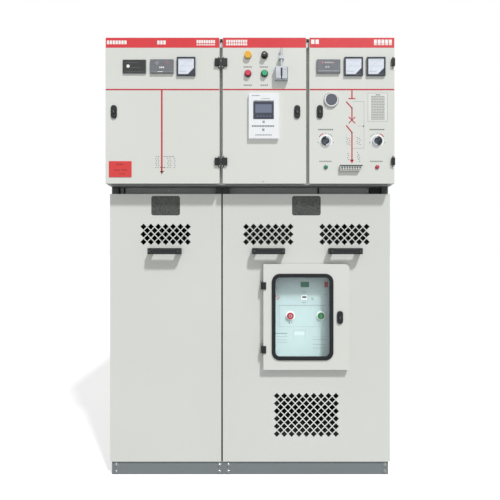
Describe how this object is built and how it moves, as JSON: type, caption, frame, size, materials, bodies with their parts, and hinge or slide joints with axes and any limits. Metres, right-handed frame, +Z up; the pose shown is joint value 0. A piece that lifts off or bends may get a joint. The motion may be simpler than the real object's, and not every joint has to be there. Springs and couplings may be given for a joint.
{
  "type": "ring main unit",
  "caption": "Indoor medium-voltage ring main unit: a narrow and a wide cubicle on plinths, with vented covers, a glazed breaker door and hinged instrument doors above.",
  "frame": {"origin": "on the floor, at the middle of the four outer anchor holes of the two plinths", "axes": "+Z up, -Y out of the front, +X to the right as seen from the front"},
  "size_m": [1.25, 0.968, 1.925],
  "materials": {
    "grey_paint": "powder coat, fine orange peel",
    "plinth_paint": "semi-gloss paint",
    "strip_paint": "matt paint",
    "zinc_steel": "zinc plated",
    "black_plastic": "moulded",
    "dark_glazing": "smoked",
    "grey_plastic": "moulded",
    "white_plastic": "moulded",
    "red_plastic": "moulded",
    "green_plastic": "moulded",
    "yellow_plastic": "moulded",
    "rubber": "extruded profile",
    "glass": "clear",
    "pale_panel": "satin"
  },
  "bodies": {
    "cubicles": {"plinth_left": "plinth_paint", "plinth_right": "plinth_paint", "floor_plates": "zinc_steel", "outer_sides": "grey_paint", "inner_sides": "grey_paint", "front_posts": "grey_paint", "header_strip": "strip_paint", "rear_covers": "grey_paint", "roof_sheets": "grey_paint", "cover_left": "grey_paint", "cover_right": "grey_paint", "inspection_windows": "dark_glazing", "cover_handles": "black_plastic", "breaker_frame": "grey_paint", "breaker_face": "pale_panel", "breaker_collars": "white_plastic", "box_floor": "grey_paint", "box_back": "zinc_steel", "box_walls": "grey_paint", "hinge_pins": "zinc_steel", "frame_lips": "zinc_steel"},
    "left_door": {"door_left": "grey_paint", "indicators_left": "grey_plastic", "meter_left": "grey_plastic", "lock_plate_left": "black_plastic", "hinge_left": "black_plastic"},
    "left_lock": {"lock_barrel_left": "black_plastic"},
    "middle_door": {"door_middle": "grey_paint", "control_rings": "zinc_steel", "lamp_yellow": "yellow_plastic", "protection_relay": "white_plastic", "interlock_lock": "zinc_steel", "lock_plate_middle": "black_plastic", "hinge_middle": "black_plastic"},
    "middle_lock": {"lock_barrel_middle": "black_plastic"},
    "red_button": {"button_red": "red_plastic"},
    "green_button": {"button_green": "green_plastic"},
    "right_door": {"door_right": "grey_paint", "indicator_right": "grey_plastic", "meters_right": "grey_plastic", "pressure_gauge": "black_plastic", "operating_sockets": "zinc_steel", "position_lamps": "green_plastic", "lock_plate_right": "black_plastic", "hinge_right": "black_plastic"},
    "right_lock": {"lock_barrel_right": "black_plastic"},
    "window_door": {"glazed_door": "grey_paint", "glass_gasket": "rubber", "glass_pane": "glass", "lock_plate_glazed": "black_plastic", "hinge_glazed": "black_plastic"},
    "window_lock": {"lock_barrel_glazed": "black_plastic"},
    "breaker_off": {"breaker_button_red": "red_plastic"},
    "breaker_on": {"breaker_button_green": "green_plastic"}
  },
  "joints": [
    {"name": "left_door_hinge", "type": "hinge", "parent": "cubicles", "child": "left_door", "pos_m": [-0.132, -0.5045, 1.601], "axis": [0, 0, 1], "range_deg": [0, 85]},
    {"name": "middle_door_hinge", "type": "hinge", "parent": "cubicles", "child": "middle_door", "pos_m": [-0.118, -0.5045, 1.601], "axis": [0, 0, -1], "range_deg": [0, 85]},
    {"name": "right_door_hinge", "type": "hinge", "parent": "cubicles", "child": "right_door", "pos_m": [0.6205, -0.5045, 1.601], "axis": [0, 0, 1], "range_deg": [0, 100]},
    {"name": "window_door_hinge", "type": "hinge", "parent": "cubicles", "child": "window_door", "pos_m": [0.053, -0.462, 0.707], "axis": [0, 0, -1], "range_deg": [0, 110]},
    {"name": "left_lock_turn", "type": "hinge", "parent": "left_door", "child": "left_lock", "pos_m": [-0.588, -0.5, 1.602], "axis": [0, 1, 0], "range_deg": [0, 90]},
    {"name": "middle_lock_turn", "type": "hinge", "parent": "middle_door", "child": "middle_lock", "pos_m": [0.204, -0.5, 1.602], "axis": [0, -1, 0], "range_deg": [0, 90]},
    {"name": "right_lock_turn", "type": "hinge", "parent": "right_door", "child": "right_lock", "pos_m": [0.302, -0.5, 1.602], "axis": [0, 1, 0], "range_deg": [0, 90]},
    {"name": "window_lock_turn", "type": "hinge", "parent": "window_door", "child": "window_lock", "pos_m": [0.396, -0.472, 0.708], "axis": [0, -1, 0], "range_deg": [0, 90]},
    {"name": "red_button_push", "type": "slide", "parent": "middle_door", "child": "red_button", "axis": [0, 1, 0], "range_m": [0, 0.003], "stiffness_N_per_m": 600},
    {"name": "green_button_push", "type": "slide", "parent": "middle_door", "child": "green_button", "axis": [0, 1, 0], "range_m": [0, 0.003], "stiffness_N_per_m": 600},
    {"name": "breaker_off_push", "type": "slide", "parent": "cubicles", "child": "breaker_off", "axis": [0, 1, 0], "range_m": [0, 0.003], "stiffness_N_per_m": 600},
    {"name": "breaker_on_push", "type": "slide", "parent": "cubicles", "child": "breaker_on", "axis": [0, 1, 0], "range_m": [0, 0.003], "stiffness_N_per_m": 600}
  ]
}
